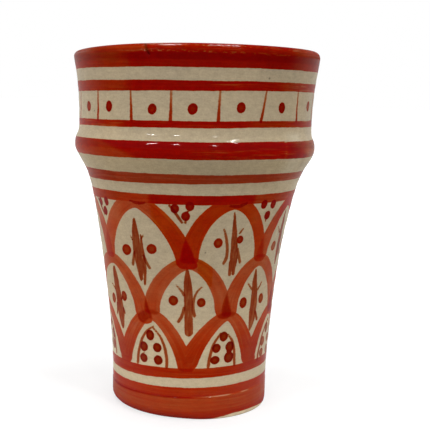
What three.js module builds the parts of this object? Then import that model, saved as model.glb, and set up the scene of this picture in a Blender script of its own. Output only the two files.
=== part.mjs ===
// Wheel-thrown ceramic beaker: a fired clay body, a coat of cream glaze outside, another inside,
// and the colour bands that are brushed round the turning beaker from the lip down to the foot.
// Millimetres, +Z up. The origin is the centre of the foot, on the plane that it stands on.
import * as THREE from "three";

// Heights of the glazed outside, from the table up. Together they are the beaker's height.
const FOOT_HEIGHT = 12; // upright wall of the foot
const BODY_HEIGHT = 62; // slowly flaring body
const CONE_HEIGHT = 14; // steep flare under the shoulder ring
const SHOULDER_HEIGHT = 6.5; // rounded step from the shoulder ring in to the neck
const NECK_HEIGHT = 22.5; // waisted neck, up to the widest place of the lip
const LIP_HEIGHT = 3; // rounded lip above that place

// Radii of the glazed outside.
const FOOT_RADIUS = 26.75;
const BODY_TOP_RADIUS = 34.8;
const SHOULDER_RADIUS = 40.6;
const SHOULDER_STEP = 1.3; // how far the neck is set in from the shoulder ring
const LIP_ROLL = 2; // how far the lip stands out from the neck
const BASE_EDGE_WIDTH = 1.8; // rounding between the foot's wall and its resting ring
const BASE_EDGE_HEIGHT = 3;
const BODY_FLARE = 0.244; // radius gained for each millimetre of height at the body's top
const LIP_FLARE = 0.16; // the same at the lip's widest place

// How long each section of the outline keeps its direction at its lower and upper end, as shares of
// that section's height.
const BODY_LEADS = [0.06, 0.4];
const CONE_LEADS = [0.63, 0.27];
const SHOULDER_LEADS = [0.5, 0.7];
const NECK_LEADS = [0.62, 0.165];

// Thickness of the finished wall, from the glazed outside to the glazed inside.
const LIP_WALL = 4.2;
const NECK_WALL = 4.3;
const SHOULDER_WALL = 5;
const BODY_WALL = 4.6;
const FOOT_WALL = 5.4;
const FLOOR_THICKNESS = 6.5;
const FLOOR_FILLET = 9; // hollow corner between the inside wall and the floor

// Turned foot ring, left bare of glaze.
const RING_WIDTH = 5;
const RING_RECESS = 2;
const RING_BEVEL = 0.6;

// Coats.
const GLAZE = 0.5;
const PAINT = 0.15;
const HAIRLINE = 0.02; // parting between two coats, so that each is a solid of its own
const GLAZE_LINE = 0.6; // height at which the glaze is wiped off the foot

// Colour bands. Each has a width, and a distance from the section of the outline that it goes with.
const FOOT_BAND_WIDTH = 9.8;
const FOOT_BAND_RISE = 1.4; // lower edge, above the table
const BODY_LOWER_LINE_WIDTH = 3;
const BODY_LOWER_LINE_RISE = 2.3; // lower edge, above the foot's wall
const BODY_UPPER_LINE_WIDTH = 3;
const BODY_UPPER_LINE_DROP = 2.7; // lower edge, below the body's top
const CONE_LINE_WIDTH = 2.9;
const CONE_LINE_RISE = 4; // lower edge, above the body's top
const SHOULDER_BAND_WIDTH = 4.9;
const SHOULDER_BAND_DROP = 2.2; // lower edge, below the widest place of the shoulder
const NECK_LOWER_LINE_WIDTH = 2;
const NECK_LOWER_LINE_RISE = 0.5; // lower edge, above the foot of the neck
const NECK_UPPER_LINE_WIDTH = 3;
const NECK_UPPER_LINE_DROP = 10.8; // lower edge, below the widest place of the lip
const LIP_BAND_DROP = 3.8; // lower edge outside, below the widest place of the lip
const LIP_BAND_INSIDE = 3.4; // lower edge inside, below the crest

// Facets: round the axis, and along each stretch of the outline.
const FACETS = 40;
const STEPS = { edge: 2, body: 5, cone: 4, shoulder: 3, neck: 4, lip: 3, inside: 8, fillet: 3 };

const CLAY = new THREE.MeshStandardMaterial({ color: 0xb98a62, roughness: 0.9, metalness: 0 });
const CREAM_GLAZE = new THREE.MeshStandardMaterial({ color: 0xa8987c, roughness: 0.25, metalness: 0 });
const RED_PAINT = new THREE.MeshStandardMaterial({ color: 0x8c2408, roughness: 0.25, metalness: 0 });

const NECK_RADIUS = SHOULDER_RADIUS - SHOULDER_STEP;
const LIP_RADIUS = NECK_RADIUS + LIP_ROLL;
const BODY_BASE_Z = FOOT_HEIGHT;
const CONE_BASE_Z = BODY_BASE_Z + BODY_HEIGHT;
const SHOULDER_Z = CONE_BASE_Z + CONE_HEIGHT;
const NECK_BASE_Z = SHOULDER_Z + SHOULDER_HEIGHT;
const LIP_Z = NECK_BASE_Z + NECK_HEIGHT;
const HEIGHT = LIP_Z + LIP_HEIGHT;
const CREST_RADIUS = LIP_RADIUS - LIP_WALL / 2;
const FLOOR_Z = RING_RECESS + FLOOR_THICKNESS;

// A point of the half section: radius, height.
const at = (radius, height) => new THREE.Vector2(radius, height);

// Points of one curve without its first, so that curves can be strung together.
const along = (curve, steps) => curve.getPoints(steps).slice(1);

// A quarter of an ellipse that leaves its start upright and arrives level at its end.
function quarter(start, end) {
  const ROUND = 0.5523; // handle length that makes a cubic curve follow an ellipse
  const upright = at(start.x, start.y + ROUND * (end.y - start.y));
  const level = at(end.x + ROUND * (start.x - end.x), end.y);
  return new THREE.CubicBezierCurve(start, upright, level, end);
}

// One section of the outside between two places. Each end is left along its own flare, which is the
// radius gained for each millimetre of height, and the leads say for how long.
function section(low, lowFlare, high, highFlare, leads) {
  const height = high.y - low.y;
  const rise = leads[0] * height;
  const fall = leads[1] * height;
  return new THREE.CubicBezierCurve(
    low,
    at(low.x + lowFlare * rise, low.y + rise),
    at(high.x - highFlare * fall, high.y - fall),
    high,
  );
}

// The glazed outside, from the resting ring up to the crest of the lip.
function outsideLine() {
  const ring = at(FOOT_RADIUS - BASE_EDGE_WIDTH, 0);
  const edge = at(FOOT_RADIUS, BASE_EDGE_HEIGHT);
  const foot = at(FOOT_RADIUS, BODY_BASE_Z);
  const bodyTop = at(BODY_TOP_RADIUS, CONE_BASE_Z);
  const shoulder = at(SHOULDER_RADIUS, SHOULDER_Z);
  const neck = at(NECK_RADIUS, NECK_BASE_Z);
  const lip = at(LIP_RADIUS, LIP_Z);
  return [
    ...quarter(edge, ring).getPoints(STEPS.edge).reverse(),
    foot,
    ...along(section(foot, 0, bodyTop, BODY_FLARE, BODY_LEADS), STEPS.body),
    ...along(section(bodyTop, BODY_FLARE, shoulder, 0, CONE_LEADS), STEPS.cone),
    ...along(section(shoulder, 0, neck, 0, SHOULDER_LEADS), STEPS.shoulder),
    ...along(section(neck, 0, lip, LIP_FLARE, NECK_LEADS), STEPS.neck),
    ...along(quarter(lip, at(CREST_RADIUS, HEIGHT)), STEPS.lip),
  ];
}

// The glazed inside, from the middle of the floor up to the crest of the lip.
function insideLine() {
  const wallFoot = at(FOOT_RADIUS - FOOT_WALL, FLOOR_Z + FLOOR_FILLET);
  const floorEdge = at(wallFoot.x - FLOOR_FILLET, FLOOR_Z);
  const lip = at(LIP_RADIUS - LIP_WALL, LIP_Z);
  const wall = new THREE.SplineCurve([
    wallFoot,
    at(BODY_TOP_RADIUS - BODY_WALL, CONE_BASE_Z),
    at(SHOULDER_RADIUS - SHOULDER_WALL, SHOULDER_Z),
    at(NECK_RADIUS - NECK_WALL, NECK_BASE_Z),
    lip,
  ]);
  return [
    at(0, FLOOR_Z),
    ...quarter(wallFoot, floorEdge).getPoints(STEPS.fillet).reverse(),
    ...along(wall, STEPS.inside),
    ...along(quarter(lip, at(CREST_RADIUS, HEIGHT)), STEPS.lip),
  ];
}

// A line moved sideways by a distance, to its right as it runs.
function moved(line, distance) {
  const last = line.length - 1;
  return line.map((point, i) => {
    const way = line[Math.min(i + 1, last)].clone().sub(line[Math.max(i - 1, 0)]).normalize();
    return at(point.x + way.y * distance, point.y - way.x * distance);
  });
}

// The place where a line first rises past a height, as its point's number plus a share of the next step.
function placeAt(line, height) {
  const i = line.findIndex((point, k) => point.y <= height && line[k + 1].y > height);
  return i + (height - line[i].y) / (line[i + 1].y - line[i].y);
}

// The point at a place on a line, and the stretch of a line between two places.
function pointAt(line, place) {
  const i = Math.min(Math.floor(place), line.length - 2);
  return line[i].clone().lerp(line[i + 1], place - i);
}
function stretch(line, from, to) {
  const whole = line.filter((_, i) => i > from && i < to);
  return [pointAt(line, from), ...whole, pointAt(line, to)];
}

// The outline of the finished beaker as one line: up the outside, over the lip and down the inside.
const outside = outsideLine();
const inside = insideLine();
const crest = outside.length - 1;
const outline = [...outside, ...inside.slice(0, -1).reverse()];
const insidePlace = (height) => outline.length - 1 - placeAt(inside, height);
const outsidePlace = (height) => placeAt(outside, height);

// The surface at a depth under the glaze, or above it where the depth is negative. It ends on the axis.
function surface(depth) {
  const line = moved(outline, -depth);
  line[line.length - 1].x = 0;
  line[0].y = 0;
  return line;
}

// A solid of revolution from the closed half section, turned so that its axis stands upright.
function turned(name, loop, material) {
  const geometry = new THREE.LatheGeometry(loop, FACETS).rotateX(Math.PI / 2);
  const mesh = new THREE.Mesh(geometry, material);
  mesh.name = name;
  return mesh;
}

// A coat between two depths, from one place of the outline to another. Where it reaches the axis its
// section starts and ends there, and elsewhere the section closes on itself.
function coat(name, from, to, deep, shallow, material) {
  const top = stretch(surface(shallow), from, to);
  const under = stretch(surface(deep), from, to).reverse();
  const onAxis = to === outline.length - 1;
  const loop = onAxis ? [...under, ...top] : [...top, ...under, top[0].clone()];
  return turned(name, loop, material);
}

// The fired clay: its own outline, closed under the foot by the bevelled ring and its recess.
function clayBody() {
  const skin = surface(GLAZE);
  const bottom = skin[0];
  const ringInside = bottom.x - RING_WIDTH;
  const underside = [
    at(0, RING_RECESS),
    at(ringInside - RING_BEVEL, RING_RECESS),
    at(ringInside, 0),
  ];
  return turned("clay_body", [...underside, ...skin], CLAY);
}

// One colour band, laid on the glaze of the outside from a height upwards.
function band(name, bottom, width) {
  const from = outsidePlace(bottom);
  const to = outsidePlace(bottom + width);
  return coat(name, from, to, -HAIRLINE, -PAINT, RED_PAINT);
}

// The lip band starts outside, goes over the crest and ends inside the lip.
function lipBand() {
  const from = outsidePlace(LIP_Z - LIP_BAND_DROP);
  const to = insidePlace(HEIGHT - LIP_BAND_INSIDE);
  return coat("lip_band", from, to, -HAIRLINE, -PAINT, RED_PAINT);
}

// The two coats of glaze part at the crest of the lip, under the lip band.
const partingShare = HAIRLINE / outline[crest].distanceTo(outline[crest + 1]);
const outerGlaze = coat(
  "outside_glaze",
  outsidePlace(GLAZE_LINE),
  crest,
  GLAZE - HAIRLINE,
  0,
  CREAM_GLAZE,
);
const innerGlaze = coat(
  "inside_glaze",
  crest + partingShare,
  outline.length - 1,
  GLAZE - HAIRLINE,
  0,
  CREAM_GLAZE,
);

const beaker = new THREE.Group();
beaker.name = "ceramic_beaker";
beaker.add(clayBody(), innerGlaze, outerGlaze);
beaker.add(
  band("foot_band", FOOT_BAND_RISE, FOOT_BAND_WIDTH),
  band("body_lower_line", BODY_BASE_Z + BODY_LOWER_LINE_RISE, BODY_LOWER_LINE_WIDTH),
  band("body_upper_line", CONE_BASE_Z - BODY_UPPER_LINE_DROP, BODY_UPPER_LINE_WIDTH),
  band("cone_line", CONE_BASE_Z + CONE_LINE_RISE, CONE_LINE_WIDTH),
  band("shoulder_band", SHOULDER_Z - SHOULDER_BAND_DROP, SHOULDER_BAND_WIDTH),
  band("neck_lower_line", NECK_BASE_Z + NECK_LOWER_LINE_RISE, NECK_LOWER_LINE_WIDTH),
  band("neck_upper_line", LIP_Z - NECK_UPPER_LINE_DROP, NECK_UPPER_LINE_WIDTH),
  lipBand(),
);

export default beaker;
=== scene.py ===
import math
from collections import namedtuple

import bpy
import numpy as np
from mathutils import Matrix


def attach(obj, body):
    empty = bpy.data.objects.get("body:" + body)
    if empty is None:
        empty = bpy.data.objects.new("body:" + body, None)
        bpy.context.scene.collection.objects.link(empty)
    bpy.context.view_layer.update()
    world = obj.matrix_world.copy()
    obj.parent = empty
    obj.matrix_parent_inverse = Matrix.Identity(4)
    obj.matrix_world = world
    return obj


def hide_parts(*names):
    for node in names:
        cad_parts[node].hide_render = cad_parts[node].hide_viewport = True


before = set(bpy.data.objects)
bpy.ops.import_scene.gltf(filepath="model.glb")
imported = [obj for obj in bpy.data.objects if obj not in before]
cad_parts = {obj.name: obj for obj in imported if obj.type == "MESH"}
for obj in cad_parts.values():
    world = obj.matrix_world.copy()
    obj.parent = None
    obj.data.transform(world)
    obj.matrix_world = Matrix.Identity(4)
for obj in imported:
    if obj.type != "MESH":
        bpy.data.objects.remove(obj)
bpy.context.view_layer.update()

scene = bpy.context.scene
scene.view_settings.view_transform = "Standard"


# Clay body
# The wall, floor and foot are thrown on the wheel in pale buff earthenware. The foot is turned with a loop
# tool once the clay is leather-hard, and its ring and hollow stay bare of glaze after the firing.

MM = 0.001
GLAZE = 0.5
CREST = (39.2, 120.12)


def bend(a, b, c, d, steps):
    """Cubic curve from a to d that sets off towards b and arrives from c, as steps + 1 points.
    The four are weighted with (1-t)^3, 3t(1-t)^2, 3t^2(1-t) and t^3."""
    t = np.linspace(0, 1, steps + 1)[:, None]
    a, b, c, d = (np.asarray(p, float) for p in (a, b, c, d))
    return (1 - t) ** 3 * a + 3 * t * (1 - t) ** 2 * b + 3 * t * t * (1 - t) * c + t**3 * d


def through(points, steps):
    """Smooth line through points. Between two of them it is a cubic curve, and at each point it runs
    along the line from the point before to the point after."""
    p = np.asarray(points, float)
    p = np.vstack([p[:1], p, p[-1:]])
    stretches = [
        bend(p[i], p[i] + (p[i + 1] - p[i - 1]) / 6, p[i + 1] - (p[i + 2] - p[i]) / 6, p[i + 1], steps)[:-1]
        for i in range(1, len(p) - 2)
    ]
    return np.vstack(stretches + [p[-1:]])


def rounded(start, end, steps):
    """Quarter of an ellipse that leaves its start upright and arrives level at its end."""
    (r0, z0), (r1, z1) = start, end
    return bend(start, (r0, z0 + 0.5523 * (z1 - z0)), (r1 + 0.5523 * (r0 - r1), z1), end, steps)


def flare(low, low_slope, high, high_slope, leads, steps=160):
    """One section of the outside. Each end keeps its slope, which is radius gained per height, for a
    share of the section's height that its lead gives."""
    rise, fall = (lead * (high[1] - low[1]) for lead in leads)
    setting_off = low[0] + low_slope * rise, low[1] + rise
    arriving = high[0] - high_slope * fall, high[1] - fall
    return bend(low, setting_off, arriving, high, steps)


def outside_line():
    """Radius and height of the glazed outside in millimetres, from the resting ring up to the lip's crest."""
    ring, edge, foot = (24.95, 0.0), (26.75, 3.0), (26.75, 12.0)
    body_top, shoulder, neck, lip = (34.8, 74.0), (40.6, 88.0), (39.3, 94.5), (41.25, 117.9)
    return np.vstack([
        rounded(edge, ring, 60)[::-1],
        flare(edge, 0, foot, 0, (0.3, 0.3))[1:],
        flare(foot, 0, body_top, 0.244, (0.06, 0.4), 600)[1:],
        flare(body_top, 0.244, shoulder, 0, (0.63, 0.27))[1:],
        flare(shoulder, 0, neck, 0, (0.58, 0.6))[1:],
        flare(neck, 0, lip, 0.08, (0.6, 0.2), 240)[1:],
        rounded(lip, CREST, 60)[1:],
    ])


def inside_line():
    """Radius and height of the glazed inside in millimetres, from the lip's crest to the floor's centre."""
    lip, wall_foot, floor_edge = (37.1, 117.0), (21.35, 17.5), (12.35, 8.5)
    wall = through([wall_foot, (30.2, 74.0), (35.6, 88.0), (35.0, 94.5), lip], 120)
    floor = np.linspace(floor_edge, (0.0, floor_edge[1]), 60)
    return np.vstack([
        rounded(lip, CREST, 60)[::-1],
        wall[::-1][1:],
        rounded(wall_foot, floor_edge, 60)[1:],
        floor[1:],
    ])


def moved(line, distance):
    """A line shifted square to itself by a distance, to its right as it runs."""
    way = np.gradient(line, axis=0)
    way /= np.linalg.norm(way, axis=1)[:, None] + 1e-12
    return line + distance * np.column_stack([way[:, 1], -way[:, 0]])


def uneven(radius, height, angle):
    """The whole wall as the hand left it, in millimetres: half-way up it bows 0.4 to the left, the lip runs
    up to 1.75 low on that side, and the foot's edge is rounder to the left and squarer to the right. Angle
    is in degrees."""
    across = np.sin(np.radians(angle))
    bow = -0.42 * across * np.exp(-(((height - 52) / 20) ** 2))
    cut_away = 1.8 * (1 - np.sqrt(1 - (np.clip(3 - height, 0, 3) / 3) ** 2))
    edge = 0.85 * across / np.sqrt(across**2 + 0.1) * cut_away * np.clip((radius - 21.5) / 3, 0, 1)
    aside = (angle + 85 + 180) % 360 - 180
    low = 1.75 * np.exp(-((aside / 55) ** 2)) * np.clip((height - 112) / 8, 0, 1)
    return radius + bow + edge, height - low


def spaced(line, rows, spacing=None):
    """A line cut afresh into rows. They are close where spacing, one value for each point, is small: a row
    stands wherever the running sum of length over spacing passes another equal step."""
    spacing = np.ones(len(line)) if spacing is None else spacing
    length = np.linalg.norm(np.diff(line, axis=0), axis=1)
    reach = np.concatenate([[0], np.cumsum(length * 2 / (spacing[1:] + spacing[:-1]))])
    at = np.linspace(0, reach[-1], rows)
    return np.column_stack([np.interp(at, reach, line[:, 0]), np.interp(at, reach, line[:, 1])])


def spread(half, angle):
    """A half section's radius and height, set out on a grid with a column for each angle."""
    return half[:, :1] + 0 * angle, half[:, 1:] + 0 * angle


def linked(name, data):
    """A new object of the scene, which shows a mesh, a lamp or a camera."""
    piece = bpy.data.objects.new(name, data)
    scene.collection.objects.link(piece)
    return piece


def turned(name, radius, height, angle, closed):
    """A surface of revolution on a grid of rows and columns, in millimetres: x = r sin(a), y = -r cos(a).
    The columns close round the axis. The last row joins the first where closed is true, and otherwise
    the first and last rows lie on the axis and become single points."""
    rows, columns = radius.shape
    grid = np.stack([radius * np.sin(angle), -radius * np.cos(angle), height], -1) * MM
    if closed:
        points = grid.reshape(-1, 3)
        low = np.arange(rows * columns).reshape(rows, columns)
        high = np.roll(low, -1, 0)
        fans = []
    else:
        points = np.vstack([grid[0, :1], grid[1:-1].reshape(-1, 3), grid[-1, :1]])
        rings = 1 + np.arange((rows - 2) * columns).reshape(-1, columns)
        low, high = rings[:-1], rings[1:]
        first, last = rings[0], rings[-1]
        start, end = np.zeros(columns, int), np.full(columns, len(points) - 1)
        fans = np.stack([start, np.roll(first, -1), first], -1).tolist()
        fans += np.stack([end, last, np.roll(last, -1)], -1).tolist()
    quads = np.stack([low, np.roll(low, -1, 1), np.roll(high, -1, 1), high], -1).reshape(-1, 4).tolist()
    mesh = bpy.data.meshes.new(name)
    mesh.from_pydata(points.tolist(), [], quads + fans)
    mesh.polygons.foreach_set("use_smooth", np.ones(len(mesh.polygons), bool))
    mesh.set_sharp_from_angle(angle=math.radians(50))
    mesh.update()
    return linked(name, mesh)


class Wire:
    """A socket of a shader. Arithmetic on wires and numbers adds Math nodes."""

    def __init__(self, socket):
        self.socket = socket

    def node(self, kind, settings, inputs, output=0):
        """Adds a node of a kind to the same tree: its settings first, then its inputs, by name or number,
        each a value or a wire. Returns the wire of one of its outputs."""
        tree = self.socket.id_data
        made = tree.nodes.new(kind)
        for key, value in settings.items():
            setattr(made, key, value)
        for key, value in inputs.items():
            if isinstance(value, Wire):
                tree.links.new(value.socket, made.inputs[key])
            else:
                made.inputs[key].default_value = value
        return Wire(made.outputs[output])

    def math(self, operation, a, b=0.0):
        return self.node("ShaderNodeMath", {"operation": operation}, {0: a, 1: b})

    def __add__(self, other):
        return self.math("ADD", self, other)

    def __sub__(self, other):
        return self.math("SUBTRACT", self, other)

    def __rsub__(self, other):
        return self.math("SUBTRACT", other, self)

    def __mul__(self, other):
        return self.math("MULTIPLY", self, other)

    def __truediv__(self, other):
        return self.math("DIVIDE", self, other)

    def __pow__(self, other):
        return self.math("POWER", self, other)

    __radd__ = __add__
    __rmul__ = __mul__

    def exp(self):
        return self.math("EXPONENT", self)

    def hump(self, steepness):
        """e to the minus steepness times the square: 1 at 0, falling off to both sides."""
        return (self * self * -steepness).exp()

    def largest(self, other):
        return self.math("MAXIMUM", self, other)

    def least(self, other):
        return self.math("MINIMUM", self, other)

    def ramp(self, low, high):
        """0 at low, 1 at high, and eased between them."""
        ends = {"Value": self, "From Min": low, "From Max": high}
        return self.node("ShaderNodeMapRange", {"interpolation_type": "SMOOTHSTEP"}, ends)

    def split(self):
        """The three parts of a vector."""
        parts = self.node("ShaderNodeSeparateXYZ", {}, {0: self})
        return [Wire(socket) for socket in parts.socket.node.outputs]

    def vector(self, x, y, z):
        return self.node("ShaderNodeCombineXYZ", {}, {0: x, 1: y, 2: z})

    def scaled(self, factors):
        return self.node("ShaderNodeVectorMath", {"operation": "MULTIPLY"}, {0: self, 1: factors})

    def noise(self, scale, detail=2.0):
        """Cloudy noise at this place, about 0 to 1 around 0.5."""
        return self.node("ShaderNodeTexNoise", {}, {"Vector": self, "Scale": scale, "Detail": detail})

    def colour(self, red, green, blue):
        return self.node("ShaderNodeCombineColor", {}, {0: red, 1: green, 2: blue})

    def bump(self, height, distance, strength=1.0):
        """Normal of a relief: its height from 0 to 1 stands for a distance in metres."""
        return self.node("ShaderNodeBump", {}, {"Height": height, "Distance": distance, "Strength": strength})


def finish_of(name, roughness, gloss):
    """A new material: its shader node, and the wire of the place on the object, in millimetres. The shine
    is a clear coat, as strong as gloss, over a dull ground."""
    material = bpy.data.materials.new(name)
    material.use_nodes = True
    shader = material.node_tree.nodes["Principled BSDF"]
    shader.inputs["Roughness"].default_value = roughness
    shader.inputs["Specular IOR Level"].default_value = 0.0
    shader.inputs["Coat Weight"].default_value = gloss
    shader.inputs["Coat Roughness"].default_value = 0.07
    place = Wire(material.node_tree.nodes.new("ShaderNodeTexCoord").outputs["Object"])
    return material, shader, place.scaled((1000, 1000, 1000))


def feed(shader, **wires):
    """Links wires to a shader's inputs by name, with _ for a space."""
    for key, wire in wires.items():
        shader.id_data.links.new(wire.socket, shader.inputs[key.replace("_", " ")])


def clay_piece():
    """The clay's own half section: the hollow under the foot, the bevelled ring, and the outline half a
    millimetre under the glaze. Turning lines ripple the hollow by 0.05 mm every 1.7 mm."""
    skin = moved(np.vstack([outside_line(), inside_line()[1:]]), -GLAZE)
    skin[0, 1], skin[-1, 0] = 0.0, 0.0
    hollow = np.column_stack([np.linspace(0, 19.3, 70), np.full(70, 2.0)])
    hollow[:, 1] += 0.05 * np.sin(hollow[:, 0] * 2 * np.pi / 1.7) * np.clip(hollow[:, 0], 0, 1)
    bevel = np.array([[19.6, 1.7], [19.75, 0.8], [19.85, 0.35], [20.2, 0.06], [20.6, 0.0], [22.5, 0.0]])
    rim = spaced(skin, 120, np.interp(np.arange(len(skin)), [0, 60, 200, len(skin)], [0.3, 0.5, 2.5, 2.5]))
    half = np.vstack([hollow, bevel, rim])
    angle = np.linspace(-np.pi, np.pi, 128, endpoint=False)
    radius, height = uneven(*spread(half, angle), np.degrees(angle))
    radius[[0, -1]] = 0.0
    return turned("clay_foot_and_wall", radius, height, angle, False)


def clay_finish():
    """Bare buff clay: pale, dry, with darker grains of grog, a warm blush from the kiln and fine pits."""
    material, shader, place = finish_of("bare_clay", 0.9, 0.0)
    x, y, _ = place.split()
    blush = place.noise(0.07)
    grain = place.noise(2.6, 4).ramp(0.58, 0.72)
    rings = place.vector(0.0, 0.0, (x * x + y * y) ** 0.5 * 1.1).noise(1, 3)
    shade = 0.86 + 0.3 * rings - 0.35 * grain
    feed(
        shader,
        Base_Color=place.colour(shade * (0.47 + 0.1 * blush), shade * 0.36, shade * (0.26 - 0.06 * blush)),
        Normal=place.bump(place.noise(3.2, 5) - 0.6 * grain, 0.0002),
    )
    return material


clay = clay_piece()
clay.data.materials.append(clay_finish())
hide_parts("clay_body")
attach(clay, "root")


# Inside glaze
# A thin coat of cream glaze, poured in and swilled round before the firing. It follows the spiral ridges
# that the thrower's fingers left on the wall, and pools a little in the middle of the floor.

CREAM = (0.4, 0.32, 0.208)
GLOSS = 0.28
LIP_END = 112.0
COAT = 0.45


def inside_piece():
    """The inside from below the lip to the floor's centre, with the throwing ridge as a low spiral wave,
    and behind it the back of the coat, which closes the shell."""
    line = inside_line()
    wall = line[np.argmax(line[:, 1] < LIP_END):]
    face, back = spaced(wall, 150), spaced(moved(wall, -COAT), 30)
    back[-1, 0] = 0.0
    angle = np.linspace(-np.pi, np.pi, 192, endpoint=False)
    radius, height = spread(face, angle)
    fade = np.clip((height - 14) / 20, 0, 1) * np.clip((LIP_END - 4 - height) / 10, 0, 1)
    radius += 0.1 * fade * np.sin(2 * np.pi * height / 6.2 + angle)
    pool = radius[-40:]
    swirl = np.cos(pool * 2 * np.pi / 5.5 - angle) * np.clip(pool / 5, 0, 1) * np.clip((11 - pool) / 3, 0, 1)
    height[-40:] -= 0.12 * swirl
    radius, height = (np.vstack(pair) for pair in zip(spread(back[::-1], angle), (radius, height)))
    radius, height = uneven(radius, height, np.degrees(angle))
    radius[[0, -1]] = 0.0
    return turned("inside_glaze_coat", radius, height, angle, False)


def cream(place):
    """Red, green and blue of the cream glaze: a little cloudy, with rare brown iron specks, lighter towards
    the foot, a painted light, darker on the neck, most at its right, and browner under the shoulder, a
    painted shade."""
    cloud = place.noise(0.06, 3) - 0.5
    mottle = place.noise(0.45, 2) - 0.5
    grain = place.noise(2.2, 1) + place.scaled((0.3, 0.3, 1.0)).noise(1.6, 2) - 1.0
    speck = place.noise(1.3, 1).ramp(0.8, 0.84)
    x, _, z = place.split()
    # Painted shade under the shoulder: browner and darker there.
    thin = z.ramp(72.5, 82) * z.ramp(89, 84)
    dull = 0.05 * z.ramp(97, 111) + 0.1 * x.ramp(8, 28) * z.ramp(93.5, 96.5)
    # Painted light: lighter towards the foot.
    pale = 0.26 * z.ramp(60, 15)
    tone = 1.0 + 0.16 * cloud + 0.25 * mottle + 0.33 * grain - 0.35 * speck + pale - dull
    shades = zip(CREAM, (0.05, 0.0, -0.12), (0.07, 0.09, 0.16))
    return [part * (tone + warm * cloud - lost * thin) for part, warm, lost in shades]


def inside_finish():
    """Glossy cream glaze with the faint ripple of a fired melt."""
    material, shader, place = finish_of("inside_cream_glaze", 0.6, GLOSS)
    feed(
        shader,
        Base_Color=place.colour(*cream(place)),
        Roughness=0.5 + 0.2 * place.noise(0.3),
        Normal=place.bump(place.noise(0.35, 2), 0.0002, 0.5),
    )
    return material


inside = inside_piece()
inside.data.materials.append(inside_finish())
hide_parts("inside_glaze")
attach(inside, "root")


# Outside glaze and its painting
# The cream coat outside, painted freehand in one iron-red colour that sinks into the glaze in the firing.
# Bands are laid with a full brush on the turning wheel, then arches, sprigs and dots by hand.

COLUMNS = 480
ANGLE = np.linspace(-180, 180, COLUMNS, endpoint=False)
LEDGE_HEIGHT, LEDGE_RISE = 7.65, 0.45
NICK_ANGLE, NICK_HEIGHT, NICK_LEAN = -21.6, 117.8, 0.75


def coat_rows():
    """Radius and height of the coat's face, foot to crest and on to the end inside the lip, as 194 rows:
    0.68 mm apart on the painted body, less at the ledge, the shoulder and the lip, more between."""
    inner = inside_line()
    stop = np.argmax(inner[:, 1] < LIP_END)
    outer = outside_line()
    line = np.vstack([outer[np.argmax(outer[:, 1] > 0.25):], inner[1 : stop + 1]])
    height = line[:, 1]
    spacing = np.interp(
        height,
        [0, 3, 6.4, 7.0, 8.4, 9.2, 16, 72, 75, 85, 88, 93, 97, 107, 112, 117, 118.8, 120],
        [0.5, 0.9, 0.6, 0.1, 0.1, 0.7, 0.6, 0.6, 1.2, 1.0, 0.46, 0.46, 0.7, 0.8, 1.0, 0.55, 0.34, 0.34],
    )
    inward = np.arange(len(line)) >= len(line) - stop
    spacing[inward] = np.interp(height[inward], [112, 118, 120], [1.2, 0.8, 0.36])
    return line, spaced(line, 194, spacing)


def lifted(height, angle):
    """The marks of hand work on the wall, in millimetres: a beaker that is a hair out of round, the
    thrower's spiral, a turned ledge round the foot, a rippled crest, and a nick across the lip."""
    a = np.radians(angle)
    outer = np.cumsum(np.gradient(height[:, 0]) < 0) == 0
    out = 0.09 * (height / 120) * np.cos(2 * a - 1.2)
    wave = 0.035 * np.sin(2 * np.pi * height / 5.1 - a) + 0.02 * np.sin(2 * np.pi * height / 2.3 + 2 * a)
    calm = 1 - np.exp(-(((height - 91) / 4.5) ** 2))
    out = out + wave * calm * np.clip((height - 12) / 6, 0, 1) * np.clip((114 - height) / 6, 0, 1)
    ledge = height - LEDGE_HEIGHT - LEDGE_RISE * np.sin(a)
    deep = 0.13 + 0.22 * np.exp(-(((angle - 24) / 29) ** 4))
    out = out - deep * np.exp(-np.clip(ledge, 0, None) / 1.6) / (1 + np.exp(-np.clip(18 * ledge, -60, 60)))
    crest = np.clip((height - 118) / 1.2, 0, 1)
    ripple = 0.012 * np.sin(37 * a + 1.3 * np.sin(5 * a)) + 0.006 * np.sin(83 * a + 2 * np.sin(7 * a))
    out = out + crest * ripple
    across = (angle - NICK_ANGLE + (height - NICK_HEIGHT) * NICK_LEAN) * 0.72
    out = out - 0.45 * np.exp(-((across / 0.5) ** 2)) * np.clip((height - 115.6) / 0.8, 0, 1)
    return np.where(outer[:, None], out, 0.0)


coat_line, coat_face = coat_rows()
wall_radius, wall_height = coat_face[: np.argmax(coat_face[:, 1])].T

FAR, CORNER = 4.0, 1.6
STROKES = {
    name: np.full((len(coat_face), COLUMNS), FAR)
    for name in ("arch_a", "arch_b", "arch_c", "arch_d", "leaf", "twig", "dot")
}


def patch(angle, wide, low, high):
    """Part of the unrolled wall, so many degrees wide to both sides of an angle and between two heights: its
    place in the grid, then x from that angle, z and the length of a degree, in millimetres."""
    turn = (ANGLE - angle + 180) % 360 - 180
    columns = np.abs(turn) < wide
    rows = (wall_height > low) & (wall_height < high)
    degree = np.pi / 180 * wall_radius[rows][:, None]
    window = np.ix_(np.nonzero(rows)[0], np.nonzero(columns)[0])
    return window, turn[columns] * degree, wall_height[rows][:, None], degree


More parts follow.
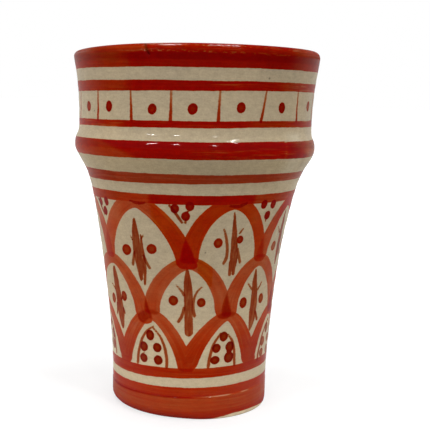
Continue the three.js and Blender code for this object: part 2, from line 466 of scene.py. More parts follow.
def brush(name, path, stop=0.0):
    """Lays one brush stroke, a path of angles in degrees, heights and widths in millimetres, into a field.
    Each grid point keeps the least of its value and its distance from the path, on the unrolled wall, less
    half the width there. The stroke is cut level at stop, where its corners are rounded."""
    path = np.asarray(path, float)
    middle, half = path[:, 0].mean(), np.ptp(path[:, 0]) / 2
    window, x, z, degree = patch(middle, half + 9, path[:, 1].min() - FAR, path[:, 1].max() + FAR)
    near = STROKES[name][window]
    for (a0, z0, w0), (a1, z1, w1) in zip(path[:-1], path[1:]):
        x0, x1 = (a0 - middle) * degree, (a1 - middle) * degree
        dx, dz = x1 - x0, z1 - z0
        t = np.clip(((x - x0) * dx + (z - z0) * dz) / (dx * dx + dz * dz + 1e-9), 0, 1)
        away = np.hypot(x - x0 - t * dx, z - z0 - t * dz) - (w0 + t * (w1 - w0)) / 2
        cut = stop - z + 0 * away
        corner = np.hypot(np.maximum(away + CORNER, 0), np.maximum(cut + CORNER, 0)) - CORNER
        in_corner = (away > -CORNER) & (cut > -CORNER)
        near = np.minimum(near, np.where(in_corner, corner, np.maximum(away, cut)))
    STROKES[name][window] = near


def tilted(across, up, degrees):
    """Both coordinates, or directions square to each other, turned from the first towards the second."""
    c, s = math.cos(math.radians(degrees)), math.sin(math.radians(degrees))
    return c * across + s * up, c * up - s * across


def dab(angle, height, half_width, half_height, tilt=0.0):
    """Lays one oval dot into the dots' field: near its edge, distance is the least radius times the ratio
    of the point's place to the oval, less one."""
    field = STROKES["dot"]
    window, x, z, _ = patch(angle, 14, height - 5, height + 5)
    x, z = tilted(x, z - height, tilt)
    ratio = np.hypot(x / half_width, z / half_height)
    field[window] = np.minimum(field[window], (ratio - 1) * min(half_width, half_height))


# The three rows of scale arches. Each arch: angle and height of its inner point, its inner left foot and its
# inner right foot, how full its left and right side are, and the stroke's width at the point and both feet.
ARCH_ROWS = [[
    (-85.9, 69.7, -112.7, 53, -66.2, 53.5, 1.63, 1.62, 4.4, 5.6, 5.6),
    (-32.9, 69.3, -54.2, 53.8, -9.2, 52.6, 1.51, 1.4, 4.5, 6.4, 6.2),
    (22.5, 69.8, 3.4, 53.8, 40.2, 54.1, 1.72, 1.66, 4, 6, 4.8),
    (68.2, 69.6, 51.8, 54.6, 88.9, 54.2, 1.42, 1.5, 3.5, 5.6, 5.4),
    (119, 69.8, 100.5, 54, 139, 54, 1.6, 1.55, 4.1, 5.8, 5.5),
    (169.5, 70, 150, 53.5, 189, 54, 1.65, 1.6, 4.2, 6, 5.8),
    (221, 69.6, 201, 54, 238.5, 54, 1.52, 1.62, 4, 5.7, 6),
], [
    (-57.2, 49.4, -80, 36.8, -38.6, 35.2, 1.72, 1.51, 3.6, 5.6, 5.9),
    (-1.5, 50.4, -20.3, 37.4, 15.3, 37.6, 1.5, 1.58, 4, 5.8, 5.5),
    (46.3, 50.5, 30.9, 37.1, 64.3, 35.8, 1.61, 1.46, 4, 5.7, 5),
    (95, 50.2, 77, 36.5, 114.5, 36.2, 1.6, 1.52, 3.9, 5.6, 5.6),
    (146.5, 49.9, 127.5, 36, 165, 36, 1.62, 1.55, 4.1, 5.8, 5.7),
    (197.5, 50.4, 178.5, 36.4, 217, 36.2, 1.55, 1.6, 3.8, 5.6, 5.9),
    (248, 50, 230, 36, 265.5, 36.4, 1.58, 1.6, 4, 5.7, 5.6),
], [
    (-79.3, 32.9, -97.1, 17.5, -58.8, 18.4, 1.5, 1.3, 3.4, 5.4, 5.8),
    (-26.8, 32.9, -45, 17.3, -7.9, 16.9, 1.38, 1.41, 3.7, 6.3, 5.2),
    (24.8, 33.1, 5.2, 18, 39.3, 18.2, 1.33, 1.31, 3.4, 6.6, 6.8),
    (69, 32.8, 52.8, 18.6, 88.5, 18, 1.48, 1.42, 3.2, 5.4, 5.2),
    (121.5, 33.3, 101.5, 17.6, 140.5, 17.5, 1.4, 1.36, 3.6, 5.8, 5.8),
    (174, 32.8, 154, 17.4, 193, 17.5, 1.36, 1.4, 3.6, 6, 5.6),
    (227, 33.1, 206.5, 17.3, 249, 17.4, 1.42, 1.38, 3.5, 5.8, 5.8),
]]


def arch_leg(point_angle, point_height, foot_angle, foot_height, fullness, start_width, foot_width):
    """Path of one leg of an arch. Its inner edge is a quarter of a superellipse with the given fullness
    as its power, from the point to the foot, and the brush runs half its width outside that edge. It is
    drawn out 2 mm past the foot, a right leg on its slant."""
    t = np.linspace(0, np.pi / 2, 22)
    across, up = np.sin(t) ** (2 / fullness), np.cos(t) ** (2 / fullness)
    height = foot_height + (point_height - foot_height) * up
    per_degree = np.pi / 180 * np.interp(height, wall_height, wall_radius).mean()
    x = (foot_angle - point_angle) * per_degree * across
    width = np.linspace(start_width, foot_width, 22)
    way = np.gradient(np.column_stack([x, height]), axis=0)
    way /= np.linalg.norm(way, axis=1)[:, None]
    side = np.sign(foot_angle - point_angle)
    x, height = x - side * way[:, 1] * width / 2, height + side * way[:, 0] * width / 2
    path = np.column_stack([point_angle + x / per_degree, height, width])
    return np.vstack([path, path[-1] + (1.5 * (side > 0), -2.0, 0)])


# The fields that the arches of a row take by turns, so that strokes which cross lie in different ones, and
# how far below its left and its right foot a stroke ends.
ROW_FIELDS = (("arch_a", "arch_b"), ("arch_c", "arch_d"), ("arch_a", "arch_a"))
ROW_ENDS = ((1.6, 2.1), (2.9, 4.3), (0.6, 0.6))

for row, fields, ends in zip(ARCH_ROWS, ROW_FIELDS, ROW_ENDS):
    for number, arch in enumerate(row):
        point, left, right = arch[:2], arch[2:4], arch[4:6]
        left_full, right_full, start_width, left_width, right_width = arch[6:]
        name = fields[number % 2]
        brush(name, arch_leg(*point, *left, left_full, start_width, left_width), left[1] - ends[0])
        brush(name, arch_leg(*point, *right, right_full, start_width, right_width), right[1] - ends[1])

# Sprigs, as the painter sets them in the arches of the two upper rows. Places are degrees and millimetres
# from the arch's inner point: leaf and twig strokes with a width at each place, and dots with half their
# width, half their height and, if they have one, a tilt.
SPRIGS = {
    "upright": ([
        [(-1.5, -3.8, 1), (-1.5, -8.1, 2.6), (-1.1, -14.1, 3.1), (0.1, -19.5, 2.6), (0.5, -23.4, 1)],
        [(2.1, -8.7, 0.6), (2.9, -14.1, 1), (3.7, -19.5, 1.1), (2.9, -24.8, 0.8)],
    ], [
        [(3.9, -8.7, 0.5), (2.1, -10, 0.6)],
        [(3.3, -15.3, 0.8), (4.9, -17.4, 1), (6.9, -19.2, 1)],
        [(-3.5, -14.7, 0.9), (-5.1, -18.7, 1.1)],
        [(-5.5, -9.3, 0.4), (-3.9, -10.5, 0.6)],
    ], [(-9.4, -14.2, 2.1, 1.75, 18), (8.8, -12.9, 1.8, 1.6, 20)]),
    "tall": ([
        [(-0.1, -0.8, 0.5), (0.9, -5, 1.3), (1.9, -10.4, 2.2), (2.7, -15.8, 2.7), (2.4, -18.6, 2.5)],
        [(0.9, -17, 1.2), (0.9, -21.2, 1.1)],
        [(3.5, -17, 1.2), (3.4, -21, 1.1)],
    ], [
        [(-5.3, -6.1, 0.5), (-3.3, -9.2, 0.9), (-2.1, -12.8, 1), (-2.1, -15.5, 1.1), (-3.7, -17.4, 1)],
        [(6.7, -6.2, 0.5), (4.7, -7.7, 0.7)],
        [(4.7, -12.8, 0.8), (5.9, -15.2, 1), (7.3, -17.3, 1)],
    ], [(-7.9, -10.7, 1.45, 1.6), (5.5, -9.8, 1.2, 1.3)]),
    "leaning": ([
        [(-0.2, -1.6, 1.6), (0.4, -4, 2.8), (1, -7.5, 3.2), (2.2, -11.5, 3.5), (3.2, -15.9, 3.8),
         (3.8, -20, 2.2), (4, -21.5, 0.8)],
    ], [
        [(-6, -7.2, 0.5), (-1.6, -8.7, 0.8)],
        [(-0.8, -13.5, 0.9), (-2.1, -17.1, 0.9)],
        [(6.7, -10.8, 0.7), (4.7, -11.8, 0.8)],
        [(6.4, -14.5, 0.8), (7.6, -16.2, 0.8)],
    ], [(-5.6, -12.3, 1.5, 1.7), (8.4, -10.3, 1.4, 1.7)]),
    "branched": ([
        [(-1.3, -0.4, 1), (-0.9, -4.2, 2.4), (-0.3, -9, 2.8), (0, -14.4, 2.6), (0.4, -19, 2.7),
         (0.5, -20.9, 2.6)],
    ], [
        [(-7.9, -5.3, 0.5), (-4.9, -6.9, 0.7), (-3.1, -8.4, 0.9)],
        [(-2.9, -12.6, 0.9), (-4.1, -15.3, 1), (-6.3, -17.3, 1)],
        [(7.9, -5.7, 0.5), (5.1, -7.2, 0.6), (3.3, -9.6, 0.8), (2.9, -12.6, 0.9), (3.9, -15.3, 1)],
    ], [(-9.7, -10.4, 1.55, 1.65), (7.9, -10.8, 1.4, 1.5)]),
    "broad": ([
        [(-2.5, -1.2, 0.8), (-2.1, -5.5, 2.3), (-0.9, -10.3, 3), (-0.7, -15.1, 3.4),
         (-1.1, -18.7, 2.7), (-2.1, -21.6, 0.8)],
    ], [
        [(-8.3, -5.4, 0.5), (-4.3, -7.6, 0.8)],
        [(5.3, -5.8, 0.5), (1.7, -8.2, 0.8)],
        [(2.1, -15.7, 0.9), (4.5, -18.4, 1.1)],
    ], [(-10.5, -11.8, 1.5, 1.8), (6.7, -11.5, 1.4, 1.7)]),
    "plain": (
        [[(-1.4, -1.8, 0.8), (-1, -6, 2.4), (-0.6, -11, 3), (-0.4, -16, 2.8), (-0.4, -19.5, 1.2)]],
        [[(-7.3, -6.8, 0.5), (-4, -8.8, 0.8)], [(2, -13.5, 0.8), (4.6, -17, 1)]],
        [(-9, -13.2, 1.55, 1.65), (8, -13, 1.5, 1.6)],
    ),
}
SPRIG_ROWS = [
    ["broad", "upright", "tall", "plain", "upright", "branched", "tall"],
    ["leaning", "branched", "broad", "tall", "plain", "leaning", "upright"],
]

for row, kinds in zip(ARCH_ROWS, SPRIG_ROWS):
    for arch, kind in zip(row, kinds):
        centre = np.array([arch[0], arch[1], 0.0])
        leaves, twigs, dots = SPRIGS[kind]
        for name, strokes in (("leaf", leaves), ("twig", twigs)):
            for stroke in strokes:
                brush(name, through(np.array(stroke) + centre, 5))
        for a, z, *oval in dots:
            dab(arch[0] + a, arch[1] + z, *oval)

# Seed heads in the lowest row: five dots under two thin outlines, from the arch's inner point as above. The
# first stands this many degrees off its arch's middle.
SEED_OFFSET = 5.0
SEED_HEADS = [
    ([
        (-1, -5.3, 1.5, 1.75), (-6.2, -9.5, 1.55, 1.65), (4.2, -9.2, 1.5, 1.55), (-6.6, -13.4, 1.5, 1.5),
        (4.8, -13.4, 1.55, 1.6),
    ], [
        [(2, -2.1, 0.5), (-4, -4.4, 0.8), (-8.4, -8, 0.95), (-11.2, -12.5, 1.05), (-12, -15.5, 1.05)],
        [(1.6, -2.9, 0.5), (6.4, -5.3, 0.8), (9.6, -8.9, 0.95), (11, -12.5, 1), (11, -15.4, 1)],
    ]),
    ([
        (-1.9, -5.2, 1.45, 1.65), (-6.7, -9, 1.45, 1.55), (3.1, -8.8, 1.55, 1.75), (-7.3, -13, 1.6, 1.4),
        (2.9, -12.4, 1.75, 1.9),
    ], [
        [(-4.1, -4, 0.6), (-8.5, -7.3, 0.9), (-10.9, -11.5, 1), (-11.9, -15.2, 1)],
        [(1.1, -4.6, 0.6), (5.1, -7.3, 0.85), (7.1, -10.9, 0.95), (7.9, -15.2, 1)],
    ]),
]

for number, arch in enumerate(ARCH_ROWS[2]):
    dots, outlines = SEED_HEADS[(number + 1) % 2]
    middle = arch[0] + (SEED_OFFSET if number == 0 else 0.0)
    for stroke in outlines:
        brush("twig", through(np.array(stroke) + (middle, arch[1], 0.0), 6))
    for a, z, *oval in dots:
        dab(middle + a, arch[1] + z, *oval)

# Three dots under the body's upper line, between each two arches of the top row, with thin strokes. Places
# are degrees from the middle of the gap, moved by a shift, and height.
GAP_SHIFTS = (2.3, -0.3, -0.3, 0.1, -0.8, -0.1, -0.6)
SPANDREL_DOTS = [
    [(-5.6, 69.6), (1.8, 70.1), (-1.0, 66.8)],
    [(-6.6, 69.9), (1.3, 70.8), (-0.9, 67.6)],
    [(-4.6, 71.1), (2.9, 70.9), (-0.4, 67.4)],
]

for number, arch in enumerate(ARCH_ROWS[0]):
    after = ARCH_ROWS[0][(number + 1) % len(ARCH_ROWS[0])]
    round_again = 180 if after[2] < arch[4] - 180 else 0
    gap = (arch[4] + after[2]) / 2 + round_again + GAP_SHIFTS[number]
    for a, z in SPANDREL_DOTS[number % 3]:
        dab(gap + a, z, 1.38, 1.45)
    if number % 3 < 2:
        brush("twig", through([(gap - 9.6, 70.9, 0.7), (gap - 6.6, 68.7, 0.95), (gap - 2.8, 65.5, 0.75)], 5))
    brush("twig", [(gap - 0.8, 66.6, 0.5), (gap - 0.9, 65.3, 0.6)])

# Two smears where the brush dragged colour down from the body's upper line.
brush("leaf", through([(-36.0, 71.4, 0.5), (-31.0, 70.9, 1.0), (-26.0, 71.2, 0.6)], 5))
brush("leaf", through([(19.0, 71.1, 0.6), (24.0, 70.8, 1.2), (29.0, 71.8, 0.8)], 5))

# The neck's panels: thin upright strokes a little thicker below, and one dot in each panel.
PANEL_WIDTH = 21.29
PANEL_LINES = [-51, -30, -11, 10, 31.2, 53.5] + [53.5 + PANEL_WIDTH * k for k in range(1, 12)]
PANEL_DOTS = [-60, -43, -19.5, -1.5, 20, 42, 66] + [64.4 + PANEL_WIDTH * k for k in range(1, 11)]
PANEL_LEANS = (-0.5, 0.4, -0.2, -0.4, -2.2, 0.3)
DOT_LIFTS = (0.0, 0.1, -0.5, -0.3, 0.2, 0.3, 0.8)
DOT_TILTS = (0.0, -6.0, -14.0, -16.0, -8.0, 4.0, -3.0)

for number, angle in enumerate(PANEL_LINES):
    lean = PANEL_LEANS[number % 6] / 2
    slant = 0.65 * math.sin(math.radians(angle))
    low, high = 97.0 + slant, 106.3 + slant
    brush("twig", [(angle + lean, low, 1.05), (angle, 101, 0.78), (angle - lean, high, 0.6)])
for number, angle in enumerate(PANEL_DOTS):
    lift = DOT_LIFTS[number % 7] + 0.6 * math.sin(math.radians(angle))
    half_width, half_height = 1.43 + 0.05 * (number % 3 == 0), 1.63 + 0.06 * (number % 2)
    dab(angle, 100.9 + lift, half_width, half_height, DOT_TILTS[number % 7])


def coat_piece():
    """The painted coat as a closed shell, face and back, with the distances to the strokes kept as
    attributes of its points, in millimetres."""
    back = spaced(moved(coat_line, -COAT), 13)[::-1]
    radius, height = spread(np.vstack([coat_face, back]), ANGLE)
    radius[: len(coat_face)] += lifted(height[: len(coat_face)], ANGLE)
    radius, height = uneven(radius, height, ANGLE)
    piece = turned("painted_outside_glaze", radius, height, np.radians(ANGLE), True)
    for name, field in STROKES.items():
        whole = np.vstack([field, np.full((len(back), COLUMNS), FAR)])
        store = piece.data.attributes.new(name, "FLOAT", "POINT")
        store.data.foreach_set("value", whole.ravel().astype(np.float32))
    return piece


# The painted bands, by the names of their solids. Each: height of the lower edge and how much higher it runs
# at the right, then the same for the upper edge, in millimetres.
BANDS = {
    "neck_upper_line": (106.0, 0.9, 108.95, 0.53),
    "neck_lower_line": (95.0, 0.72, 97.0, 0.68),
    "shoulder_band": (85.55, 0.41, 90.8, 0.5),
    "cone_line": (77.9, 0.81, 80.8, 0.31),
    "body_upper_line": (71.3, 0.43, 74.2, 0.39),
    "body_lower_line": (14.1, 1.0, 17.4, 0.74),
}
LIP_LOW, LIP_SLANT = 112.85, 0.55
FOOT_LOW, FOOT_TOP, FOOT_SLANT = 0.1, 10.9, 0.53
IRON_SPECKS = [(7.5, 56.0), (33.0, 110.3), (-54.5, 99.0)]

Paint = namedtuple("Paint", "thickness brown blue gloss", defaults=(0.0, 0.0, 0.0))


class Wall:
    """The outside wall: wires of the place in millimetres, of the angle in degrees and of the marks that a
    brush leaves, and masks that are 1 on a part of the wall and 0 elsewhere."""

    def __init__(self, place):
        x, y, z = place.split()
        self.place, self.x, self.z = place, x, z
        self.around = (x * x + y * y) ** 0.5
        self.side = x / self.around
        self.turn = x.math("ARCTAN2", x, 0.0 - y) * (180 / math.pi)
        self.ragged = place.noise(1.1, 2) - 0.5
        sway = place.scaled((1, 1, 0.35)).noise(0.05, 1) - 0.5
        self.wander = z + 0.5 * sway + 0.3 * (place.noise(0.3, 2) - 0.5) + 0.14 * self.ragged
        self.patchy = place.noise(0.11, 2)
        self.hairs = place.scaled((0.06, 0.06, 1.7)).noise(1, 4)
        self.dry = place.scaled((0.13, 0.13, 2.2)).noise(1, 3).ramp(0.5, 0.66)
        self.thin = 0.6 + 0.8 * self.hairs
        self.even = 0.5 + self.hairs
        self.ledge = z - LEDGE_HEIGHT - LEDGE_RISE * self.side
        self.on_neck = z.ramp(90, 95)
        self.under_line = z.ramp(64, 66) * z.ramp(76, 74)

    def above(self, height, slant, ease=0.12):
        """1 above a brushed edge and 0 below. The edge wanders, and is higher to the right by its slant."""
        return (self.wander - slant * self.side).ramp(height - ease, height + ease)

    def band(self, name):
        low, low_slant, high, high_slant = BANDS[name]
        return self.above(low, low_slant) * (1 - self.above(high, high_slant))

    def span(self, first, last, ease=2.0):
        """1 between two angles and 0 past them."""
        return self.turn.ramp(first - ease, first + ease) * self.turn.ramp(last + ease, last - ease)

    def stroke(self, name, soft=0.13):
        """How much of a stroke covers the place, with a ragged edge, and the distance, below 0 inside it."""
        inside = self.place.node("ShaderNodeAttribute", {"attribute_name": name}, {}, 2)
        return (inside + 0.25 * self.ragged).ramp(soft, -soft), inside

    def wash(self, name, far, strength):
        """An arch's stroke, streaked along its length and a little cloudy: its thickness, and what of it
        sinks in where it crosses another, less near its edge."""
        cover, inside = self.stroke(name)
        streak = self.place.vector(inside * 1.6, self.z * 0.05 + far, self.x * 0.05).noise(1, 3)
        thickness = (0.35 + 0.8 * streak + 0.7 * self.patchy) * strength
        return cover * thickness, inside.ramp(0.15, -0.9) * thickness


def crossed(first, second, share):
    """Thickness where two strokes cross: the thicker one, and a share of the other."""
    return first.largest(second) + share * first.least(second)


def lip_paint(wall):
    """The lip's band, over the crest and a little way inside: fullest in front and half-way up, rubbed thin
    on the crest and on a seam under it, dark in the nick, and with shining grains. The paler left and ends
    are partly a painted reflection, and the dark strip half-way up partly a painted shade."""
    z, turn = wall.z, wall.turn
    inner = wall.around.ramp(39.3, 39.1) * z.ramp(100, 101)
    cover = wall.above(LIP_LOW + 3.4 * inner, LIP_SLANT)
    # Painted shade, in part: a darker strip half-way up, where the lip faces down.
    strip = wall.above(115, LIP_SLANT, 0.4) * (1 - wall.above(117.1, LIP_SLANT, 0.4))
    top = wall.above(117.3, LIP_SLANT, 0.6)
    # Paler and bluer at both ends: partly a painted reflection.
    ends = top * (turn.ramp(44, 60) + turn.ramp(-44, -60))
    # Full paint from about -30 to 46 degrees; the paler paint to its left and right is partly a painted
    # reflection.
    loaded_between_sheens = (turn - 8 * top).ramp(-31.5, -28.5) * turn.ramp(50, 42)
    crest, seam = z - 119.3, z - 117.35 + 0.25 * wall.side
    worn = wall.place.scaled((0.6, 0.6, 1.5)).noise(1.2, 3).ramp(0.49, 0.57)
    rubbed = worn * (seam.hump(4) + 0.6 * crest.hump(5))
    front = turn.ramp(56, 42) * (0.2 * turn.ramp(-46, -34) + 0.8 * turn.ramp(-25, -20))
    off_nick = turn - NICK_ANGLE + (z - NICK_HEIGHT) * NICK_LEAN
    nick = off_nick.hump(2.6) * z.ramp(115.8, 116.6)
    load = (
        (1.35 + 0.65 * loaded_between_sheens) * wall.thin
        + 0.8 * strip * wall.span(-34, 50, 6)
        - (top * (0.15 + 0.7 * wall.dry) + 1.2 * rubbed) * front
        - 0.5 * ends
    )
    brown = cover * (0.06 + 0.2 * strip + 0.14 * top * turn.ramp(-34, -46)) + 0.7 * nick
    grains = wall.place.noise(2.2, 1).ramp(0.4, 0.56) * z.ramp(118.8, 119.1) * z.ramp(119.9, 119.7)
    shining = grains * (wall.span(-22, -7, 1) + 0.75 * wall.span(4, 18, 1))
    return Paint(cover * load, brown, -0.9 * ends, 0.94 * shining - 0.22 * z.ramp(117.2, 117.8))


def neck_paint(wall):
    """The two lines of the neck. The upper one has a gap along its middle where the brush ran dry."""
    middle = wall.wander - 107.75 - 0.65 * wall.side
    split = middle.hump(6) * wall.span(6, 44, 6) * wall.hairs.ramp(0.42, 0.56)
    upper = (1.3 + 0.9 * wall.span(-31, 40, 5)) * wall.thin - 1.2 * split
    upper = upper - 0.5 * wall.dry * wall.turn.ramp(-5, 25)
    lower = (1.4 + 0.7 * wall.span(-34, 24, 5)) * wall.thin - 0.5 * wall.dry
    return Paint(wall.band("neck_upper_line") * upper + wall.band("neck_lower_line") * lower)


def shoulder_paint(wall):
    """The shoulder's band: full in front, streaked to the right, where the brush ran dry and was lifted, and
    darker above the ring's widest place and past the lift. Its paler paint to the left and far right is
    partly a painted reflection."""
    z, turn = wall.z, wall.turn
    cover = wall.band("shoulder_band")
    top = (z - 0.45 * wall.side).ramp(87.4, 89.2)
    # Paler left of about -36 and right of about 57 degrees: partly a painted reflection.
    slanted = turn + 4 * (z - 88)
    loaded_between_sheens = slanted.ramp(-41, -31) * slanted.ramp(63, 51)
    load = (
        (1.2 + 1.1 * loaded_between_sheens) * (0.88 + 0.3 * top) * wall.thin
        - 0.95 * wall.dry * turn.ramp(-20, 15) * turn.ramp(60, 48)
        - 0.7 * wall.span(43.6, 45.4, 1)
        - 0.4 * turn.ramp(57, 65)
    )
    brown = 0.2 * top - 0.1 + 0.15 * turn.ramp(42, 56) + 0.12 * wall.span(46.5, 56)
    return Paint(cover * load, cover * brown)


def body_line_paint(wall):
    """The line half-way down the cone, and those above and below the arches."""
    cone, upper, lower = (wall.band(name) for name in ("cone_line", "body_upper_line", "body_lower_line"))
    # The cone line is thinner to the right, a painted sheen there.
    thickness = (
        cone * (1.05 - 0.25 * wall.turn.ramp(38, 52)) * wall.even
        + upper * (1.1 + 0.9 * wall.span(-23.5, 33.5)) * wall.thin
        + lower * 1.3 * wall.even
    )
    return Paint(thickness, 0.1 * cone + 0.06 * lower, -0.5 * cone)


def foot_cover(wall):
    """Where the foot's band lies. At the right it stops short of the table."""
    short = 1.2 * wall.turn.ramp(12, 36) * wall.turn.ramp(92, 50)
    return wall.above(FOOT_LOW + short, 0.0) * (1 - wall.above(FOOT_TOP, FOOT_SLANT))


def foot_paint(wall):
    """The foot's band: thicker above the ledge and low down, thicker and browner in the ledge at the left,
    and thinner along the ledge's edge at the right, a pale line that is partly a painted highlight."""
    ledge, turn = wall.ledge, wall.turn
    cover = foot_cover(wall)
    # Thicker and browner in the ledge at the left.
    ledge_left_darker = ledge.hump(9) * turn.ramp(20, -12)
    # A pale line along the ledge's edge at the right: thinner paint there, and partly a painted highlight.
    thin_edge_and_highlight = ledge.hump(30) * (
        wall.span(3, 31, 3) * (0.4 + 0.6 * turn.ramp(6, 24)) + 0.9 * wall.span(40, 48)
    )
    load = 1.0 + 0.27 * ledge.ramp(-0.3, 0.3) + 0.45 * wall.z.ramp(3.8, 1.6) + 0.8 * ledge_left_darker
    brown = 0.25 * ledge_left_darker + 0.05 * cover * ledge.ramp(0.3, -0.3)
    return Paint(cover * load * (1 - 0.75 * thin_edge_and_highlight) * wall.thin, brown, 0.0, 0.7 * thin_edge_and_highlight)


def arch_paint(wall):
    """The scale arches. Colour adds up where strokes cross. It is thinner at both sides, weaker in the
    middle row, and amber where it is fresh, high up in front."""
    z, turn = wall.z, wall.turn
    thinned = 0.36 * turn.ramp(-36, -48) + 0.2 * turn.ramp(28, 40) - 0.35 * turn.ramp(54, 62)
    crown = z.ramp(61, 66) * turn.ramp(-20.5, -25.5) * (0.32 - 0.12 * turn.ramp(-34, -46))
    aside = (thinned + 0.2 * wall.span(47, 55, 3)) * z.ramp(40, 46) + crown
    full = 1.09 - aside - z.ramp(46, 40) * (0.29 - 0.37 * z.ramp(31, 21))
    (one, one_sunk), (other, other_sunk) = wall.wash("arch_a", 0.0, full), wall.wash("arch_b", 20.0, full)
    joint = one_sunk.least(other_sunk) * (1 - 0.6 * turn.ramp(-34, -48) - 0.6 * turn.ramp(30, 42))
    upper_row, upper_sunk = one.largest(other) + 1.1 * joint, one_sunk.largest(other_sunk)
    dabbed = wall.span(3.5, 12.5, 0.5) * z.ramp(44.5, 45.1) * z.ramp(54, 53)
    ends = 0.13 * turn.ramp(-47, -55) * z.ramp(43, 47) - 0.12 * turn.ramp(54, 62)
    weak = 0.74 + 0.12 * z.ramp(43, 37) - 0.3 * aside + 0.15 * dabbed + ends
    (one, one_sunk), (other, other_sunk) = wall.wash("arch_c", 40.0, weak), wall.wash("arch_d", 60.0, weak)
    overlap = one_sunk.least(other_sunk)
    middle_row, middle_sunk = one.largest(other) + 0.9 * overlap, one_sunk.largest(other_sunk)
    across_rows = z.ramp(50, 44) * upper_sunk.least(middle_sunk)
    thickness = crossed(upper_row, middle_row, 0.6 * z.ramp(44, 50)) + 0.6 * across_rows
    tint = 0.09 * z.ramp(27, 21) - 0.06 * z.ramp(25, 31) - 0.05 * z.ramp(53, 56)
    deep = overlap.largest(0.8 * across_rows).largest(0.3 * joint)
    fresh = z.ramp(50, 55) * z.ramp(74, 71) * (1 - aside.ramp(0, 0.3)) + dabbed
    return Paint(thickness, thickness.ramp(0, 0.4) * tint + 0.35 * deep, 1.4 * thickness * fresh)


def sprig_paint(wall):
    """Leaves and twigs in a browner colour than the arches, and the neck's upright strokes, paler upwards."""
    z = wall.z
    streak = wall.place.scaled((1, 1, 0.12)).noise(1.5, 2)
    on_neck = wall.on_neck * (0.5 - 0.65 * z.ramp(98, 105.5))
    twigs = wall.stroke("twig", 0.16)[0] * (0.8 + 0.15 * z.ramp(40, 33) + 0.3 * wall.under_line + on_neck)
    ink = wall.stroke("leaf")[0] * (0.35 + 1.2 * streak) + twigs
    return Paint(ink, ink * (0.33 - 0.25 * wall.on_neck), 3.5 * ink)


def dot_paint(wall):
    """Dots, fuller at their rim, on the neck, under the upper line and in seed heads, paler at both sides."""
    z, turn = wall.z, wall.turn
    seed = z.ramp(33.5, 31.5)
    cover, inside = wall.stroke("dot")
    load = 0.85 + 0.5 * wall.patchy + 0.5 * wall.on_neck + 0.25 * seed + 0.5 * wall.under_line
    load = load + 0.5 * inside.ramp(-1.1, -0.3)
    sides = turn.ramp(-44, -58) + 1.5 * turn.ramp(46, 60)
    ink = cover * (1 - 0.3 * sides * (1 - wall.under_line)) * load
    return Paint(ink, ink * (0.13 + 0.1 * z.ramp(48, 44) + 0.13 * seed))


def iron_specks(wall):
    """Dark iron specks in the glaze, half a millimetre across, each at an angle and a height."""
    aside = [((wall.turn - angle) * 0.62, wall.z - height) for angle, height in IRON_SPECKS]
    return 0.9 * sum(((a * a + b * b) * -14.0).exp() for a, b in aside)


def painted_finish():
    """Cream glaze under iron-red colour. A stroke takes light away by its thickness, blue most: what is left
    is the cream times e to the minus loss. The loss of red levels off, so crossings turn deep red. The bare
    edge of the foot has painted light on it, and a painted sheen lies on the shoulder at the right."""
    material, shader, place = finish_of("painted_cream_glaze", 0.6, GLOSS)
    wall = Wall(place)
    z = wall.z
    bands = [paint(wall) for paint in (lip_paint, neck_paint, shoulder_paint, body_line_paint, foot_paint)]
    arches, sprigs, dots = arch_paint(wall), sprig_paint(wall), dot_paint(wall)
    laid = crossed(sum(band.thickness for band in bands), arches.thickness, 0.3 * z.ramp(40, 30))
    red_ink = laid + dots.thickness
    thick = red_ink + sprigs.thickness
    layers = (*bands, arches, sprigs, dots)
    brown, blue = sum(layer.brown for layer in layers), sum(layer.blue for layer in layers)
    stain = iron_specks(wall)
    loss = (
        0.58 * (1 - (thick * -1.2).exp()) + brown + stain,
        2.4 * thick + stain,
        red_ink * (2.7 + 1.1 * red_ink) + blue + stain,
    )
    # Painted light: the bare edge of the foot is made lighter.
    edge = 1.0 + 0.4 * (1 - foot_cover(wall)) * z.ramp(3.4, 2.6)
    # Painted sheen on the shoulder at the right, weaker over thick colour.
    painted_sheen = wall.span(46, 58, 5) * z.ramp(76, 81) * z.ramp(95, 92.5)
    painted_sheen = painted_sheen * (1 - 0.6 * thick.ramp(0, 0.5))
    base = [part * (edge + sheen_tint * painted_sheen) for part, sheen_tint in zip(cream(place), (0.15, 0.21, 0.32))]
    feed(
        shader,
        Base_Color=place.colour(*[part * (0.0 - lost).exp() for part, lost in zip(base, loss)]),
        Roughness=0.5 + 0.2 * place.noise(0.3),
        Coat_Weight=GLOSS + sum(layer.gloss for layer in layers),
        Normal=place.bump(0.6 * place.noise(0.35, 2) + 0.12 * wall.hairs, 0.00025, 0.5),
    )
    return material


outside = coat_piece()
outside.data.materials.append(painted_finish())
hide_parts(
    "outside_glaze",
    "lip_band",
    "neck_upper_line",
    "neck_lower_line",
    "shoulder_band",
    "cone_line",
    "body_upper_line",
    "body_lower_line",
    "foot_band",
)
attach(outside, "root")


# Studio
# A wide white table in a white room, with soft lights above and to both sides, and four small lamps in front
# whose reflections are the glints on the shoulder.


def table_top():
    """A flat disc: rings of points at growing radii, as a fan of four-sided faces round a small middle."""
    angle = np.linspace(0, 2 * np.pi, 64, endpoint=False)
    radius = np.array([0.001, 0.1, 0.3, 1.0, 3.0, 9.0, 30.0])[:, None]
    grid = np.stack([radius * np.cos(angle), radius * np.sin(angle), 0 * radius * angle - 0.00005], -1)
    number = np.arange(grid.shape[0] * 64).reshape(-1, 64)
    low, high = number[:-1], number[1:]
    faces = np.stack([low, high, np.roll(high, -1, 1), np.roll(low, -1, 1)], -1).reshape(-1, 4).tolist()
    mesh = bpy.data.meshes.new("table_top")
    mesh.from_pydata(grid.reshape(-1, 3).tolist(), [], faces + [number[0].tolist()])
    return linked("table_top", mesh)


def rays(tree):
    """Wires that are 1 for what the camera, a shiny surface, a dull one or a clear one sees."""
    path = tree.nodes.new("ShaderNodeLightPath")
    return [Wire(path.outputs[f"Is {kind} Ray"]) for kind in ("Camera", "Glossy", "Diffuse", "Transmission")]


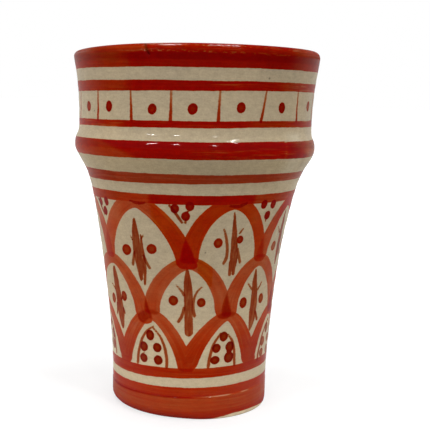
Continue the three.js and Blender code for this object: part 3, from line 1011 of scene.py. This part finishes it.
table = table_top()
table_finish, table_shader, table_place = finish_of("white_table", 0.9, 0.0)
across, deep, _ = table_place.split()
far = (across * across + deep * deep) ** 0.5
beside = across.math("ABSOLUTE", across).ramp(30, 130) * deep.ramp(-180, -30)
camera_ray, glossy_ray, diffuse_ray, clear_ray = rays(table_finish.node_tree)
lit = 0.08 + 0.34 * deep.ramp(-130, -40) + 0.45 * beside
mirrored = 0.05 + 0.75 * far.ramp(150, 40) * deep.ramp(-60, -10)
grey = 0.35 + diffuse_ray * (lit - 0.35) + glossy_ray * (mirrored - 0.35)
shown = camera_ray.largest(clear_ray).largest(glossy_ray * (deep / far).ramp(-0.1, 0.9))
glow = shown * (0.66 + 0.36 * far.ramp(45, 300))
table_shader.inputs["Emission Strength"].default_value = 1.0
feed(table_shader, Base_Color=grey.colour(grey, grey, grey), Emission_Color=glow.colour(glow, glow, glow))
table.data.materials.append(table_finish)

room = bpy.data.worlds.new("white_room")
room.use_nodes = True
scene.world = room
room_tree = room.node_tree
background = room_tree.nodes["Background"]
background.inputs["Color"].default_value = (1.0, 1.0, 1.0, 1.0)
behind = Wire(room_tree.nodes.new("ShaderNodeTexCoord").outputs["Generated"]).split()[1].ramp(-0.1, 0.9)
camera_ray, glossy_ray, _, clear_ray = rays(room_tree)
room_light = (0.2 + 0.3 * behind).largest(camera_ray).largest(clear_ray).largest(glossy_ray * behind)
room_tree.links.new(room_light.socket, background.inputs["Strength"])


def stand(piece, place, across, up, back):
    """Puts an object at a place, with its own three axes along the three directions."""
    turn = Matrix(np.column_stack([across, up, back]).tolist()).to_4x4()
    piece.matrix_world = Matrix.Translation(list(place)) @ turn


def lamp(name, size, power, azimuth, elevation, distance=1.2, shines=True, tilt=0.0):
    """An oval lamp, as wide and high as size says, aimed at the beaker. Azimuth is counted from the camera's
    side to the right, and tilt lifts its right end. A lamp that doesn't shine leaves no reflection."""
    a, e = math.radians(azimuth), math.radians(elevation)
    away = np.array([math.sin(a) * math.cos(e), -math.cos(a) * math.cos(e), math.sin(e)])
    data = bpy.data.lights.new(name, "AREA")
    data.shape, data.energy = "ELLIPSE", power
    data.size, data.size_y = size
    piece = linked(name, data)
    side = np.cross((0.0, 0.0, 1.0), away)
    side /= np.linalg.norm(side)
    stand(piece, distance * away + (0.0, 0.0, 0.08), *tilted(side, np.cross(away, side), tilt), away)
    piece.visible_glossy = shines


lamp("overhead_light_a", (0.42, 0.34), 4.9, -90, 77.3)
lamp("overhead_light_b", (0.46, 0.32), 4.9, 90, 77.0)
lamp("left_soft_light", (1.7, 1.7), 6.4, -62, 15, 1.3, shines=False)
lamp("right_soft_light", (1.7, 1.7), 5.35, 62, 26, 1.3, shines=False)
lamp("left_low_light", (0.2, 0.03), 0.03, -68, -18, 0.2, shines=False)
lamp("right_low_light", (0.2, 0.03), 0.013, 68, -18, 0.2, shines=False)
lamp("shoulder_lamp_a", (0.24, 0.05), 2.9, -42, 21, tilt=45.0)
lamp("shoulder_lamp_b", (0.11, 0.07), 2.0, -18, 22)
lamp("shoulder_lamp_c", (0.09, 0.06), 1.65, 18, 22)
lamp("shoulder_lamp_d", (0.35, 0.046), 3.5, 39.4, 42, tilt=-51.0)

# The camera's focal length in pixels of a picture this wide, its place in metres, and how far it is turned
# to the right, down and over to the left, in degrees.
FOCAL_PIXELS, IMAGE_PIXELS = 905.1, 430
EYE = (0.0, -0.31, 0.10291)
YAW, PITCH, ROLL = 1.38, 7.135, 1.655

right, ahead, high = np.eye(3)
ahead, right = tilted(ahead, right, YAW)
high, ahead = tilted(high, ahead, PITCH)
right, high = tilted(right, high, ROLL)
camera = linked("camera", bpy.data.cameras.new("camera"))
camera.data.sensor_width = 36.0
camera.data.lens = FOCAL_PIXELS / IMAGE_PIXELS * camera.data.sensor_width
camera.data.clip_start = 0.01
stand(camera, EYE, right, high, -ahead)
scene.camera = camera
